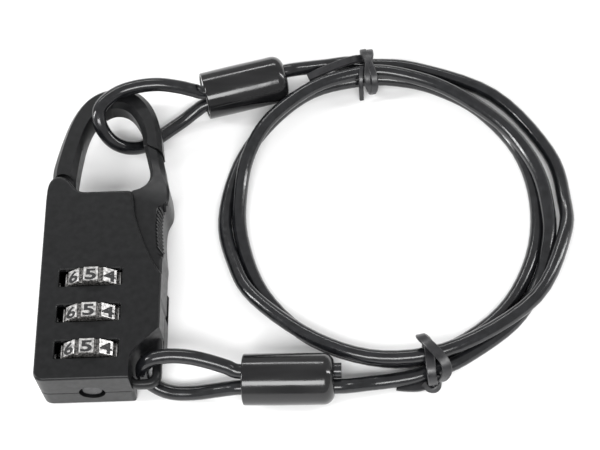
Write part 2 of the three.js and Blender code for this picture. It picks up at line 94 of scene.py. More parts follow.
CABLE_RADIUS = 1.7
CAP_RADIUS = 5.8
CAP_LENGTH = 20.6
TIE_STATIONS = 20             # stations round one turn of a tie
TIE_STEPS = 4                 # points from one station to the next
TIE_BEND = 0.88               # below 1, a tie's turn is squarer than an ellipse
CAP_UPPER = {"x": 21.6, "y": 77.5, "z": 6.0, "angle": 0.262, "lift": 0.05}
CAP_LOWER = {"x": 31.8, "y": 2.0, "z": 6.0, "angle": -0.024, "lift": 0.0}

INNER_STEEL = (
    "gate_pin", "gate_spring", "locking_plate", "spindle", "spindle_spring", "detent_spring",
)

# The cable's route where it isn't coiled, in metres.
UPPER_END = [
    (0.0402, 0.0824, 0.0043), (0.0310, 0.0798, 0.0043), (0.0224, 0.0773, 0.0042),
    (0.0191, 0.0759, 0.0031), (0.0163, 0.0741, 0.0022), (0.0136, 0.0722, 0.0019),
    (0.0108, 0.0701, 0.0018), (0.0084, 0.0683, 0.0018), (0.0062, 0.0669, 0.0021),
    (0.0040, 0.0658, 0.0032), (0.0016, 0.0653, 0.0048), (-0.0007, 0.0658, 0.0066),
    (-0.0024, 0.0671, 0.0087), (-0.0033, 0.0688, 0.0110), (-0.0033, 0.0712, 0.0124),
    (-0.0016, 0.0738, 0.0127), (0.0018, 0.0762, 0.0128), (0.0064, 0.0776, 0.0127),
    (0.0112, 0.0782, 0.0121), (0.0160, 0.0783, 0.0104), (0.0190, 0.0782, 0.0090),
    (0.0222, 0.0783, 0.0078), (0.0310, 0.0807, 0.0077), (0.0396, 0.0830, 0.0077),
    (0.0432, 0.0840, 0.0074), (0.0476, 0.0857, 0.0056), (0.0522, 0.0873, 0.0038),
    (0.0572, 0.0884, 0.0029),
]
LOWER_END = [
    (0.0540, 0.0030, 0.0071), (0.0430, 0.0033, 0.0071), (0.0316, 0.0035, 0.0071),
    (0.0282, 0.0043, 0.0082), (0.0246, 0.0051, 0.0095), (0.0206, 0.0058, 0.0106),
    (0.0169, 0.0061, 0.0111), (0.0138, 0.0059, 0.0113), (0.0113, 0.0055, 0.0108),
    (0.0096, 0.0049, 0.0089), (0.0091, 0.0043, 0.0064), (0.0096, 0.0037, 0.0040),
    (0.0112, 0.0028, 0.0025), (0.0136, 0.0017, 0.0019), (0.0166, 0.0010, 0.0018),
    (0.0208, 0.0008, 0.0022), (0.0250, 0.0008, 0.0032), (0.0284, 0.0007, 0.0043),
    (0.0316, 0.0006, 0.0049), (0.0430, 0.0004, 0.0049), (0.0526, 0.0002, 0.0047),
    (0.0559, 0.0007, 0.0037), (0.0600, 0.0016, 0.0025), (0.0644, 0.0022, 0.0020),
]
# The coil, about its centre: degrees turned since the coil began, radius and height, mm.
COIL_CENTRE = (66.9, 47.0)
COIL_START = 97.0
COIL = [
    (0, 41.2, 2.3), (17, 40.1, 1.8), (47, 40.0, 1.75), (77, 40.3, 1.75), (97, 40.5, 2.6),
    (112, 40.9, 4.6), (137, 41.3, 5.2), (167, 40.3, 5.15), (192, 40.5, 5.1),
    (215, 39.9, 5.1), (241, 40.4, 4.1), (257, 40.3, 2.9), (275, 40.3, 1.8),
    (297, 39.3, 1.8), (317, 38.3, 3.0), (337, 38.1, 3.2), (357, 36.9, 2.6),
    (372, 36.2, 2.1), (387, 35.4, 1.75), (407, 34.5, 1.75), (432, 34.0, 1.75),
    (457, 34.0, 1.75), (482, 35.2, 1.75), (507, 37.3, 1.75), (532, 39.2, 1.75),
    (552, 39.7, 1.75), (577, 39.0, 1.75), (602, 37.9, 1.75), (627, 36.9, 2.0),
    (647, 36.9, 3.3), (662, 37.5, 4.95), (677, 37.5, 6.3), (697, 37.2, 6.5),
    (714, 36.8, 6.1), (727, 36.3, 5.7), (747, 34.5, 5.2), (767, 33.4, 5.05),
    (787, 34.0, 5.15), (807, 35.4, 4.85), (826, 36.9, 3.95), (838, 38.0, 3.3),
    (850, 39.3, 1.9), (867, 40.9, 1.75), (887, 42.3, 1.8), (896, 43.0, 1.8),
    (903, 44.0, 1.8),
]


# ---------------------------------------------------------------- places and paths

def place(x, y, z=0.0):
    """A point of the lock's plan, in millimetres, as a point of the row frame."""
    return Vector((x, y - LENGTH / 2, z)) / 1000


def smooth_curve(points, per_span=6):
    """Points along a Catmull-Rom curve through all the given points."""
    points = [Vector(p) for p in points]
    ends = [2 * points[0] - points[1], 2 * points[-1] - points[-2]]
    padded = [ends[0], *points, ends[1]]
    result = []
    for a, b, c, d in zip(padded, padded[1:], padded[2:], padded[3:]):
        for step in range(per_span):
            t = step / per_span
            result.append(0.5 * (
                2 * b + (c - a) * t + (2 * a - 5 * b + 4 * c - d) * t * t
                + (3 * b - a - 3 * c + d) * t ** 3
            ))
    result.append(points[-1])
    return result


def curve2d(points, per_span=6):
    """The same curve in the lock's plan."""
    return [(p.x, p.y) for p in smooth_curve([(x, y, 0) for x, y in points], per_span)]


def quad(start, control, end, steps=8):
    """Points of a quadratic curve after its start."""
    result = []
    for i in range(1, steps + 1):
        t = i / steps
        a, b, c = (1 - t) ** 2, 2 * t * (1 - t), t * t
        result.append((
            a * start[0] + b * control[0] + c * end[0],
            a * start[1] + b * control[1] + c * end[1],
        ))
    return result


def rounded(points, radius, steps=5):
    """The outline with each corner turned into an arc of about the given radius."""
    result = []
    for i, point in enumerate(points):
        here = Vector(point)
        before = Vector(points[i - 1]) - here
        after = Vector(points[(i + 1) % len(points)]) - here
        reach = radius * math.tan((math.pi - before.angle(after)) / 2)
        start = here + before.normalized() * reach
        end = here + after.normalized() * reach
        result.append(tuple(start))
        result.extend(quad(start, here, end, steps))
    return result


def ring_points(x, y, radius, sides):
    """Points evenly round a circle."""
    step = 2 * math.pi / sides
    return [(x + radius * math.cos(i * step), y + radius * math.sin(i * step))
            for i in range(sides)]


# ---------------------------------------------------------------- meshes

def mesh_object(name, bm):
    mesh = bpy.data.meshes.new(name)
    bmesh.ops.recalc_face_normals(bm, faces=bm.faces)
    bm.to_mesh(mesh)
    bm.free()
    obj = bpy.data.objects.new(name, mesh)
    bpy.context.scene.collection.objects.link(obj)
    return obj


def shade(obj, angle):
    """Smooth shading, weighted by face area so that flat faces stay flat.

    Edges where faces meet at more than the angle, in degrees, stay sharp.
    """
    mesh = obj.data
    mesh.polygons.foreach_set("use_smooth", [True] * len(mesh.polygons))
    mesh.set_sharp_from_angle(angle=math.radians(angle))
    mesh.update()
    weighted = obj.modifiers.new("weighted", "WEIGHTED_NORMAL")
    weighted.keep_sharp = True
    weighted.mode = "FACE_AREA"


def bridge(bm, rows):
    """A wall of four-sided faces from each closed row of points to the next."""
    for a, b in zip(rows, rows[1:]):
        for i in range(len(a)):
            j = (i + 1) % len(a)
            bm.faces.new((a[i], a[j], b[j], b[i]))


def rim_levels(low, high, low_round, high_round, steps):
    """(height, inset) pairs up the side of a plate with rounded rims."""
    levels = []
    for edge, inwards, radius in ((low, 1, low_round), (high, -1, high_round)):
        for i in range(steps + 1 if radius else 1):
            angle = math.pi / 2 * i / steps
            height = edge + inwards * radius * (1 - math.sin(angle))
            levels.append((height, radius * (1 - math.cos(angle))))
    return sorted(levels)


def slab(name, points, low, high, low_round=0.0, high_round=0.0, steps=4):
    """A plate with the given outline, its lower and upper rims rounded over."""
    bm = bmesh.new()
    rows = []
    for z, inset in rim_levels(low, high, low_round, high_round, steps):
        outline = offset_outline(points, -inset) if inset else points
        rows.append([bm.verts.new(place(x, y, z)) for x, y in outline])
    bridge(bm, rows)
    caps = [bm.faces.new(rows[0][::-1]), bm.faces.new(rows[-1])]
    bm.normal_update()
    bmesh.ops.triangulate(bm, faces=caps, ngon_method="EAR_CLIP")
    return mesh_object(name, bm)


def resampled(points, count):
    """The same line as evenly spaced points."""
    points = [Vector(p) for p in points]
    lengths = [0.0]
    for a, b in zip(points, points[1:]):
        lengths.append(lengths[-1] + (b - a).length)
    result = []
    span = 0
    for i in range(count):
        wanted = lengths[-1] * i / (count - 1)
        while span < len(points) - 2 and lengths[span + 1] < wanted:
            span += 1
        share = (wanted - lengths[span]) / (lengths[span + 1] - lengths[span])
        result.append(points[span].lerp(points[span + 1], min(share, 1)))
    return result


def bar_between(name, left, right, profile, count):
    """A bar that fills the strip between two lines of the plan, its long edges cut away.

    profile gives, for a place along y, the bar's lowest and highest z and how much is cut
    off its lower edges, its upper left edge and its upper right edge.
    """
    widest_cut = 0.45
    bm = bmesh.new()
    rows = []
    for a, b in zip(resampled(left, count), resampled(right, count)):
        across = (b - a).normalized()
        width = (b - a).length
        low, high, *cuts = profile((a.y + b.y) / 2)
        under, top_left, top_right = (min(cut, widest_cut * width) for cut in cuts)
        section = [
            (width - under, low), (width, low + under),
            (width, high - top_right), (width - top_right, high),
            (top_left, high), (0, high - top_left),
            (0, low + under), (under, low),
        ]
        rows.append([bm.verts.new(place(*(a + across * s), h)) for s, h in section])
    bridge(bm, rows)
    bm.faces.new(rows[0])
    bm.faces.new(rows[-1][::-1])
    return mesh_object(name, bm)


def flared_slab(name, points, low, high, flare, top=True):
    """A cutter that widens past the face it cuts, to leave a chamfered rim there."""
    past = 1
    wide = offset_outline(points, flare + past)
    levels = [(low, points), (high - flare, points), (high + past, wide)]
    if not top:
        levels = [(low - past, wide), (low + flare, points), (high, points)]
    bm = bmesh.new()
    rows = [[bm.verts.new(place(x, y, z)) for x, y in outline] for z, outline in levels]
    bridge(bm, rows)
    bm.faces.new(rows[0][::-1])
    bm.faces.new(rows[-1])
    return mesh_object(name, bm)


def offset_outline(points, amount):
    """The outline moved outwards by the amount, with reversed stretches closed up."""
    area = sum(a[0] * b[1] - b[0] * a[1] for a, b in zip(points, points[1:] + points[:1]))
    side = 1 if area > 0 else -1
    least_opening = 0.5
    hair = 0.001
    count = len(points)
    moved = []
    for i in range(count):
        here = Vector(points[i])
        into = (here - Vector(points[i - 1])).normalized()
        away = (Vector(points[(i + 1) % count]) - here).normalized()
        normals = [Vector((v.y, -v.x)) * side for v in (into, away)]
        middle = normals[0] + normals[1]
        middle = middle / max(middle.length_squared / 2, least_opening)
        moved.append(here + middle * amount)
    passes = 12
    for _ in range(passes):
        for i in range(count):
            j = (i + 1) % count
            old = Vector(points[j]) - Vector(points[i])
            if (moved[j] - moved[i]).dot(old) < 0:
                middle = (moved[i] + moved[j]) / 2
                moved[i] = middle - old * hair
                moved[j] = middle + old * hair
    return [tuple(p) for p in moved]


def rectangle(x0, x1, y0, y1):
    """Four corners, anticlockwise from the lower left."""
    return [(x0, y0), (x1, y0), (x1, y1), (x0, y1)]


def cylinder(name, start, end, radius, sides=40, end_radius=None):
    """A round bar between two points of the row frame, radii in millimetres."""
    start, end = Vector(start), Vector(end)
    bm = bmesh.new()
    bmesh.ops.create_cone(
        bm, cap_ends=True, segments=sides, radius1=radius / 1000,
        radius2=(radius if end_radius is None else end_radius) / 1000,
        depth=(end - start).length,
    )
    turn = (end - start).to_track_quat("Z", "Y").to_matrix().to_4x4()
    bm.transform(Matrix.Translation((start + end) / 2) @ turn)
    return mesh_object(name, bm)


def revolved(name, profile, sides=64):
    """A turned shape about its own X axis from (along, radius) points in millimetres."""
    bm = bmesh.new()
    rows = []
    for along, radius in profile:
        circle = ring_points(0, 0, radius, sides)
        rows.append([bm.verts.new(Vector((along, y, z)) / 1000) for y, z in circle])
    bridge(bm, rows)
    bmesh.ops.remove_doubles(bm, verts=bm.verts, dist=1e-7)
    return mesh_object(name, bm)


def joined(name, *objects):
    """One object from several, with their own meshes side by side."""
    bm = bmesh.new()
    for obj in objects:
        bm.from_mesh(obj.data)
        bpy.data.objects.remove(obj)
    mesh = bpy.data.meshes.new(name)
    bm.to_mesh(mesh)
    bm.free()
    whole = bpy.data.objects.new(name, mesh)
    bpy.context.scene.collection.objects.link(whole)
    return whole


def carved(obj, *cutters):
    """The object with every cutter taken out of it."""
    for cutter in cutters:
        change = obj.modifiers.new(cutter.name, "BOOLEAN")
        change.operation = "DIFFERENCE"
        change.solver = "EXACT"
        change.object = cutter
    graph = bpy.context.evaluated_depsgraph_get()
    graph.update()
    mesh = bpy.data.meshes.new_from_object(obj.evaluated_get(graph))
    obj.modifiers.clear()
    obj.data = mesh
    for cutter in cutters:
        bpy.data.objects.remove(cutter)
    return obj


def finish_piece(obj, node, body, material, angle=SMOOTH_BELOW):
    """Shades a new piece, gives it its material and puts it in its CAD node's place."""
    shade(obj, angle)
    obj.data.materials.clear()
    obj.data.materials.append(material)
    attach(obj, body)
    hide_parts(node)
    return obj


# ---------------------------------------------------------------- materials

def new_material(name, colour, roughness, metallic=0.0):
    """A plain material, with its node tree and shader for the functions that add to it."""
    material = bpy.data.materials.new(name)
    material.use_nodes = True
    shader = material.node_tree.nodes["Principled BSDF"]
    shader.inputs["Base Color"].default_value = (*colour, 1)
    shader.inputs["Roughness"].default_value = roughness
    shader.inputs["Metallic"].default_value = metallic
    return material, material.node_tree, shader


def noise(tree, scale, detail=3.0, stretch=(1, 1, 1)):
    """Noise in object space, stretched along the axes."""
    nodes, links = tree.nodes, tree.links
    coordinates = nodes.new("ShaderNodeTexCoord")
    mapping = nodes.new("ShaderNodeMapping")
    mapping.inputs["Scale"].default_value = stretch
    texture = nodes.new("ShaderNodeTexNoise")
    texture.inputs["Scale"].default_value = scale
    texture.inputs["Detail"].default_value = detail
    links.new(coordinates.outputs["Object"], mapping.inputs["Vector"])
    links.new(mapping.outputs["Vector"], texture.inputs["Vector"])
    return texture.outputs["Fac"]


def ramp(tree, source, low, high, start=0.3, end=0.7):
    """The source's values from start to end, as values from low to high."""
    node = tree.nodes.new("ShaderNodeMapRange")
    node.inputs["From Min"].default_value = start
    node.inputs["From Max"].default_value = end
    node.inputs["To Min"].default_value = low
    node.inputs["To Max"].default_value = high
    tree.links.new(source, node.inputs["Value"])
    return node.outputs["Result"]


def colour_mix(tree, source, first, second, start=0.35, end=0.65):
    """The first colour where the source is below start, the second where it is above end."""
    node = tree.nodes.new("ShaderNodeValToRGB")
    node.color_ramp.elements[0].position = start
    node.color_ramp.elements[0].color = (*first, 1)
    node.color_ramp.elements[1].position = end
    node.color_ramp.elements[1].color = (*second, 1)
    tree.links.new(source, node.inputs["Fac"])
    return node.outputs["Color"]


def bump(tree, shader, source, strength, distance, previous=None):
    """Bumps as high as the distance in metres, on top of any previous ones."""
    node = tree.nodes.new("ShaderNodeBump")
    node.inputs["Strength"].default_value = strength
    node.inputs["Distance"].default_value = distance
    tree.links.new(source, node.inputs["Height"])
    if previous is not None:
        tree.links.new(previous, node.inputs["Normal"])
    tree.links.new(node.outputs["Normal"], shader.inputs["Normal"])
    return node.outputs["Normal"]


def black_paint():
    """Satin black paint on a die casting: faint orange peel and rubbed patches."""
    material, tree, shader = new_material("black_paint", (0.006, 0.0062, 0.0066), 0.36)
    shader.inputs["Specular IOR Level"].default_value = 0.27
    tree.links.new(ramp(tree, noise(tree, 900, 4), 0.30, 0.40), shader.inputs["Roughness"])
    tint = colour_mix(tree, noise(tree, 700, 5), (0.005, 0.0052, 0.0056), (0.008, 0.0082, 0.0088))
    tree.links.new(tint, shader.inputs["Base Color"])
    fine = bump(tree, shader, noise(tree, 2600, 2), 0.12, 0.00004)
    bump(tree, shader, noise(tree, 420, 2), 0.06, 0.0001, fine)
    return material


def cable_coating():
    """Glossy black vinyl drawn over twisted wire, a little lumpy and scuffed."""
    material, tree, shader = new_material("black_coating", (0.007, 0.0073, 0.0082), 0.16)
    tree.links.new(ramp(tree, noise(tree, 900, 4), 0.10, 0.24), shader.inputs["Roughness"])
    tint = colour_mix(tree, noise(tree, 500, 4), (0.005, 0.0052, 0.006), (0.011, 0.0115, 0.013))
    tree.links.new(tint, shader.inputs["Base Color"])
    lumps = bump(tree, shader, noise(tree, 520, 2), 0.15, 0.00015)
    bump(tree, shader, noise(tree, 3200, 3), 0.15, 0.00003, lumps)
    return material


def cap_vinyl():
    """Dipped black vinyl with a gloss and faint streaks along it."""
    material, tree, shader = new_material("black_vinyl", (0.005, 0.005, 0.0055), 0.2)
    streaks = noise(tree, 300, 4, (0.25, 1.4, 1.4))
    tree.links.new(ramp(tree, streaks, 0.10, 0.22), shader.inputs["Roughness"])
    tint = colour_mix(tree, streaks, (0.004, 0.004, 0.0045), (0.009, 0.009, 0.0095))
    tree.links.new(tint, shader.inputs["Base Color"])
    bump(tree, shader, noise(tree, 240, 3), 0.15, 0.0002)
    return material


def tie_plastic():
    """The soft black plastic of a twist tie, with a faint grain."""
    material, tree, shader = new_material("black_plastic", (0.014, 0.014, 0.015), 0.35)
    tree.links.new(ramp(tree, noise(tree, 700, 3), 0.25, 0.45), shader.inputs["Roughness"])
    tint = colour_mix(tree, noise(tree, 300, 4), (0.009, 0.009, 0.010), (0.018, 0.018, 0.020))
    tree.links.new(tint, shader.inputs["Base Color"])
    bump(tree, shader, noise(tree, 1500, 3), 0.2, 0.00006)
    return material


def satin_nickel():
    """Cast wheels with satin plating, worn and slightly grimy."""
    material, tree, shader = new_material("silver", (0.74, 0.73, 0.71), 0.3, 0.9)
    # Random darker patches of grime across the plating, with no shade painted here.
    grime_and_shade = colour_mix(tree, noise(tree, 1400, 6), (0.26, 0.255, 0.25), (0.78, 0.77, 0.76), 0.34, 0.58)
    tree.links.new(grime_and_shade, shader.inputs["Base Color"])
    tree.links.new(ramp(tree, noise(tree, 900, 4), 0.26, 0.48), shader.inputs["Roughness"])
    fine = bump(tree, shader, noise(tree, 2400, 4), 0.3, 0.00005)
    bump(tree, shader, noise(tree, 500, 2), 0.2, 0.00012, fine)
    return material


def dark_nickel():
    """The wheels' grooves and flanks: dull, blackened plating, with painted shade darkening the
    grooves between the facets.
    """
    material, tree, shader = new_material("dark_silver_and_shade", (0.12, 0.12, 0.12), 0.5, 0.8)
    # The dark colour is painted shade in the grooves and the real blackening of the flanks.
    marks = noise(tree, 2200, 5)
    tree.links.new(colour_mix(tree, marks, (0.03, 0.03, 0.03), (0.30, 0.29, 0.28), 0.4, 0.7),
                   shader.inputs["Base Color"])
    tree.links.new(ramp(tree, marks, 0.4, 0.6), shader.inputs["Roughness"])
    bump(tree, shader, marks, 0.3, 0.00005)
    return material


def plain_metal(name, dark, light, roughness):
    """Turned or drawn metal with fine marks."""
    material, tree, shader = new_material(name, light, roughness, 1.0)
    marks = noise(tree, 800, 5, (1, 6, 1))
    tree.links.new(colour_mix(tree, marks, dark, light), shader.inputs["Base Color"])
    spread = ramp(tree, marks, roughness - 0.08, roughness + 0.1)
    tree.links.new(spread, shader.inputs["Roughness"])
    bump(tree, shader, marks, 0.15, 0.00005)
    return material


def digit_ink():
    """Black paint pressed into the wheels' digits."""
    material, tree, shader = new_material("digit_ink", (0.01, 0.01, 0.011), 0.5)
    tree.links.new(ramp(tree, noise(tree, 3000, 3), 0.4, 0.65), shader.inputs["Roughness"])
    tint = colour_mix(tree, noise(tree, 4200, 4), (0.008, 0.008, 0.009), (0.03, 0.03, 0.03), 0.5, 0.8)
    tree.links.new(tint, shader.inputs["Base Color"])
    return material


# ---------------------------------------------------------------- camera, light and floor

def make_camera():
    """The camera looks down at the lock from in front of its bottom end."""
    data = bpy.data.cameras.new("camera")
    data.lens = 98.9
    data.sensor_width = 36
    data.clip_start = 0.01
    camera = bpy.data.objects.new("camera", data)
    bpy.context.scene.collection.objects.link(camera)
    right = Vector((0.99777, -0.00688, -0.06636))
    up = Vector((0.0378, 0.87792, 0.47731))
    back = right.cross(up)
    turn = Matrix((right, up, back)).transposed()
    camera.matrix_world = Matrix.Translation((0.06622, -0.18436, 0.34617)) @ turn.to_4x4()
    bpy.context.scene.camera = camera


def area_light(name, position, size, power):
    """A rectangular light, in metres and watts, that faces the middle of the object."""
    target = Vector((0.03, 0.0, 0.0))
    data = bpy.data.lights.new(name, "AREA")
    data.shape = "RECTANGLE"
    data.size, data.size_y = size
    data.energy = power
    light = bpy.data.objects.new(name, data)
    bpy.context.scene.collection.objects.link(light)
    light.location = position
    away = Vector(position) - target
    light.rotation_mode = "QUATERNION"
    light.rotation_quaternion = away.to_track_quat("Z", "Y")


def make_light():
    """Two side strips, a softbox in front, a thin strip behind, and an even white sky."""
    area_light("left_strip", (-0.75, -0.05, 0.42), (0.10, 0.6), 5)
    area_light("right_strip", (0.8, 0.15, 0.4), (0.10, 0.6), 3)
    area_light("front_softbox", (0.05, -0.55, 0.62), (0.6, 0.25), 6)
    area_light("back_strip", (-0.1, 0.6, 0.5), (0.6, 0.05), 1.5)
    world = bpy.data.worlds.new("studio")
    bpy.context.scene.world = world
    world.use_nodes = True
    background = world.node_tree.nodes["Background"]
    background.inputs["Color"].default_value = (1, 1, 1, 1)
    background.inputs["Strength"].default_value = 0.6


def set_view_transform():
    """Shows brightness as it is, so that the lit floor comes out white."""
    bpy.context.scene.view_settings.view_transform = "Standard"


def make_floor():
    """A pale matt floor, a little lower than the lock's back."""
    half = 1.5
    drop = 0.0001
    bm = bmesh.new()
    bm.faces.new([bm.verts.new((x, y, 0)) for x, y in rectangle(-half, half, -half, half)])
    floor = mesh_object("floor", bm)
    floor.location.z = -drop
    material, tree, shader = new_material("floor", (0.9, 0.9, 0.9), 0.9)
    tint = colour_mix(tree, noise(tree, 6, 2), (0.90, 0.90, 0.90), (0.93, 0.93, 0.93))
    tree.links.new(tint, shader.inputs["Base Color"])
    shader.inputs["Specular IOR Level"].default_value = 0.1
    floor.data.materials.append(material)


# ---------------------------------------------------------------- cable

def coil_points():
    """Points round the coil, from one station to the next, in metres."""
    points = []
    for turned, radius, height in COIL:
        angle = math.radians(COIL_START - turned)
        points.append(place(
            COIL_CENTRE[0] + radius * math.cos(angle),
            COIL_CENTRE[1] + radius * math.sin(angle),
            height,
        ))
    return points


def cable_route():
    """The whole centreline: upper end, coil, then the lower end in reverse."""
    shift = Vector((0, -LENGTH / 2000, 0))
    upper = [Vector(p) + shift for p in UPPER_END]
    lower = [Vector(p) + shift for p in reversed(LOWER_END)]
    return smooth_curve([*upper, *coil_points(), *lower], 5)


def make_cable(coating):
    """The cable as one cord along its whole route."""
    points = cable_route()
    data = bpy.data.curves.new("security_cable", "CURVE")
    data.dimensions = "3D"
    data.bevel_depth = CABLE_RADIUS / 1000
    data.bevel_resolution = 6
    data.use_fill_caps = True
    spline = data.splines.new("POLY")
    spline.points.add(len(points) - 1)
    for knot, point in zip(spline.points, points):
        knot.co = (*point, 1)
    spline.use_smooth = True
    cable = bpy.data.objects.new("security_cable", data)
    bpy.context.scene.collection.objects.link(cable)
    data.materials.append(coating)
    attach(cable, "lock_body")
    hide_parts("cable_upper_end", "cable_lower_end", "cable_coil")


def arc_profile(centre, radius, start, end, steps):
    """(along, radius) points of a rounded corner, angles in degrees."""
    points = []
    for i in range(steps + 1):
        angle = math.radians(start + (end - start) * i / steps)
        points.append((centre[0] + radius * math.cos(angle), centre[1] + radius * math.sin(angle)))
    return points


def lay_along(obj, where):
    """Lays a turned piece on the cable, its open end lifted about its closed end."""
    reach = Vector((CAP_LENGTH / 1000, 0, 0))
    obj.data.transform(
        Matrix.Translation(place(where["x"], where["y"], where["z"]))
        @ Matrix.Rotation(where["angle"], 4, "Z")
        @ Matrix.Translation(reach)
        @ Matrix.Rotation(where["lift"], 4, "Y")
        @ Matrix.Translation(-reach)
    )
    return obj


def make_cap(name, where, vinyl):
    """A vinyl cap, open towards the eye, with a rounded shoulder at its closed end."""
    wall = 0.8
    end_wall = 1.9
    lip = 0.35
    shoulder = 2.6
    swell = 0.05
    inside = CAP_RADIUS - wall
    profile = [
        (CAP_LENGTH - end_wall, 0.0), (CAP_LENGTH - end_wall, inside), (lip, inside),
        *arc_profile((lip, inside + lip), lip, 270, 180, 3),
        *arc_profile((lip, CAP_RADIUS - lip), lip, 180, 90, 3),
        (CAP_LENGTH * 0.4, CAP_RADIUS + swell),
        *arc_profile((CAP_LENGTH - shoulder, CAP_RADIUS - shoulder), shoulder, 90, 0, 8),
        (CAP_LENGTH, 0.0),
    ]
    cap = lay_along(revolved(name, profile), where)
    return finish_piece(cap, name.replace("vinyl_", "ferrule_"), "lock_body", vinyl)


def make_ferrule(name, where, metal):
    """The swaged aluminium plug in the cap, its rim just showing."""
    radius = CAP_RADIUS - 0.85
    edge = 0.3
    start = 0.3
    end = CAP_LENGTH - 2.4
    profile = [
        (start, 0.0), (start, radius - edge),
        *arc_profile((start + edge, radius - edge), edge, 180, 90, 3),
        (end, radius), (end, 0.0),
    ]
    plug = lay_along(revolved(name, profile), where)
    return finish_piece(plug, name.replace("plug", "ferrule"), "lock_body", metal)


def ribbon(name, stations, width, thickness):
    """A flat band with softened edges through (x, y, z, facing) stations.

    facing is the direction that the band's broad side looks to, as an (x, y, z) tuple.
    """
    path = smooth_curve([place(x, y, z) for x, y, z, _ in stations], TIE_STEPS)
    facing = smooth_curve([Vector(way) for _, _, _, way in stations], TIE_STEPS)
    half, thin, soft = width / 2000, thickness / 2000, thickness / 5000
    section = [
        (-half, -thin + soft), (-half + soft, -thin), (half - soft, -thin),
        (half, -thin + soft), (half, thin - soft), (half - soft, thin),
        (-half + soft, thin), (-half, thin - soft),
    ]
    bm = bmesh.new()
    rows = []
    last = len(path) - 1
    for i, (point, way) in enumerate(zip(path, facing)):
        along = (path[min(i + 1, last)] - path[max(i - 1, 0)]).normalized()
        outward = (way - along * way.dot(along)).normalized()
        across = along.cross(outward)
        rows.append([bm.verts.new(point + across * a + outward * b) for a, b in section])
    bridge(bm, rows)
    bm.faces.new(rows[0])
    bm.faces.new(rows[-1][::-1])
    return mesh_object(name, bm)


def tie_turn(name, heart, turned, half_across, half_high, lean, width, thickness):
    """One turn of a tie round the coil's bundle of turns.

    heart is the middle of the bundle, turned its direction from the coil's centre in
    degrees. lean carries the band along the bundle, from a little below the heart upwards.
    """
    angle = math.radians(turned)
    radial = Vector((math.cos(angle), math.sin(angle), 0))
    side = Vector((-math.sin(angle), math.cos(angle), 0))
    below = 0.6
    stations = []
    for i in range(TIE_STATIONS + 1):
        turn = 2 * math.pi * i / TIE_STATIONS - math.pi / 2
        across = math.copysign(abs(math.cos(turn)) ** TIE_BEND, math.cos(turn))
        high = math.copysign(abs(math.sin(turn)) ** TIE_BEND, math.sin(turn))
        shift = lean * across * max(high + below, 0) / (1 + below)
        spot = Vector(heart) + radial * half_across * across + side * shift
        spot.z = heart[2] + half_high * high
        way = radial * math.cos(turn) + Vector((0, 0, math.sin(turn)))
        stations.append((*spot, tuple(way)))
    return ribbon(name, stations, width, thickness)


def make_upper_tie(plastic):
    """Two turns crossing over the bundle, a flat tail to the left, a stub hanging down."""
    heart = (62.3, 84.4, 4.6)
    up = (0, -0.3, 1)
    front = (0.2, -0.9, 0.45)
    tie = joined(
        "tie_upper",
        tie_turn("turn_a", heart, 96, 5.3, 3.85, 1.3, 1.8, 1.4),
        tie_turn("turn_b", heart, 96, 5.0, 3.8, -1.3, 1.7, 1.4),
        ribbon("tail", [
            (60.8, 87.6, 5.6, up), (58.6, 86.8, 6.6, up), (55.0, 85.3, 7.1, up),
            (51.0, 83.7, 6.9, up), (47.2, 82.2, 6.4, up),
        ], 2.0, 1.0),
        ribbon("stub", [
            (60.6, 83.6, 8.2, up), (60.3, 81.0, 7.4, up), (60.2, 79.3, 5.6, front),
            (60.2, 78.6, 3.6, front), (60.2, 78.0, 1.9, front),
        ], 1.1, 0.9),
    )
    return finish_piece(tie, "coil_tie_upper", "lock_body", plastic)


def make_lower_tie(plastic):
    """A broad strap: one high slack turn, one tight turn, a foot loop and a low tail."""
    down = (0, 0, -1)
    front = (0, -1, 0.3)
    tie = joined(
        "tie_lower",
        tie_turn("slack_turn", (74.7, 6.2, 5.3), -80, 5.3, 4.9, 3.2, 2.2, 0.8),
        tie_turn("tight_turn", (73.8, 5.3, 4.2), -82, 4.7, 3.7, -0.4, 2.1, 0.9),
        ribbon("foot", [
            (72.2, 1.6, 1.4, front), (73.6, 0.3, 1.0, front), (75.0, 0.2, 1.3, front),
            (75.7, 1.4, 2.0, (1, -0.4, 0.2)), (75.4, 2.8, 2.2, (0.6, 0.6, 0.4)),
        ], 1.6, 0.9),
        ribbon("tail", [
            (74.0, 1.9, 0.8, down), (71.4, 1.2, 0.7, down), (68.6, 1.2, 0.7, down),
            (66.2, 1.5, 0.7, down),
        ], 2.2, 0.8),
    )
    return finish_piece(tie, "coil_tie_lower", "lock_body", plastic)


# ---------------------------------------------------------------- outlines of the case

CORNER = 2.4                  # rounding of the case's lower left corner, seen from the front
WING_SEAM = [(6.3, 46.4), (6.5, 44.6), (6.9, 41.5), (8.6, 36), (11.4, 29.2), (RIGHT, 25.6)]


def ear_and_left_edge():
    """Round the ear at the hook's root, then the case's left edge down to its corner."""
    points = quad((-5.4, 47.9), (-7.0, 47.9), (-8.4, 50.0), 6)
    points += quad(points[-1], (-9.9, 52.3), (-11.6, 52.3), 6)
    points += quad(points[-1], (-14.0, 52.3), (-14.3, 48.6), 8)
    return points + [(LEFT, 46.0), (LEFT, CORNER)]


def top_and_left_side():
    """From the wing's tip along the top and down the left side to the bottom face."""
    points = quad(WING_SEAM[0], (6.1, 47.8), (4.8, 47.8), 5)
    points += [(-5.4, 47.9), *ear_and_left_edge()]
    return points + quad(points[-1], (LEFT, 0), (LEFT + CORNER, 0), 8)


def wing_seam():
    """The cover's edge along the gate, from the side of the case up to the wing's tip."""
    return curve2d(WING_SEAM, 8)[::-1]


def cover_outline():
    """Anticlockwise from the lower right corner."""
    return [(RIGHT, 0), *wing_seam(), *top_and_left_side()]


